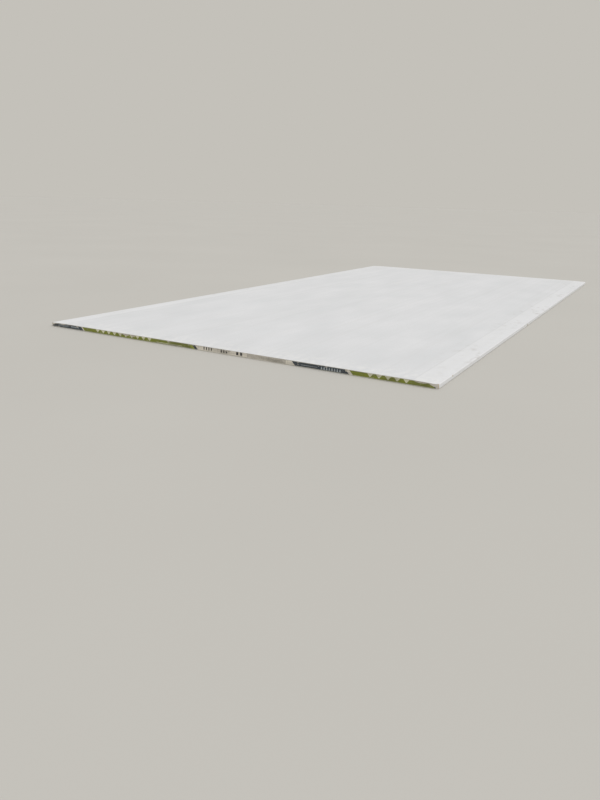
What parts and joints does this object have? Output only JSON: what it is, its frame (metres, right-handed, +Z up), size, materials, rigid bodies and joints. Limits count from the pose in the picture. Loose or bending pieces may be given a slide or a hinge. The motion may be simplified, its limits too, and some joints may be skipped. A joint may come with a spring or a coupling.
{
  "type": "drywall sheet",
  "caption": "Flat gypsum wallboard sheet with paper-bound tapered long edges, square sawn ends and printed paper end tape folded round each end onto the back.",
  "frame": {"origin": "on the back of the sheet, under the middle of its width and length", "axes": "+X across the width, +Y along the length, +Z up out of the finished face"},
  "size_m": [1.2192, 2.439, 0.0127],
  "materials": {
    "board_paper": "matt white face paper, grey liner paper on the back, and a grey-buff gypsum core at the sawn ends",
    "tape_paper": "printed paper tape with olive green, slate and cream fields"
  },
  "bodies": {
    "root": {"gypsum_board": "board_paper", "end_tape_front": "tape_paper", "end_tape_rear": "tape_paper"}
  },
  "joints": []
}
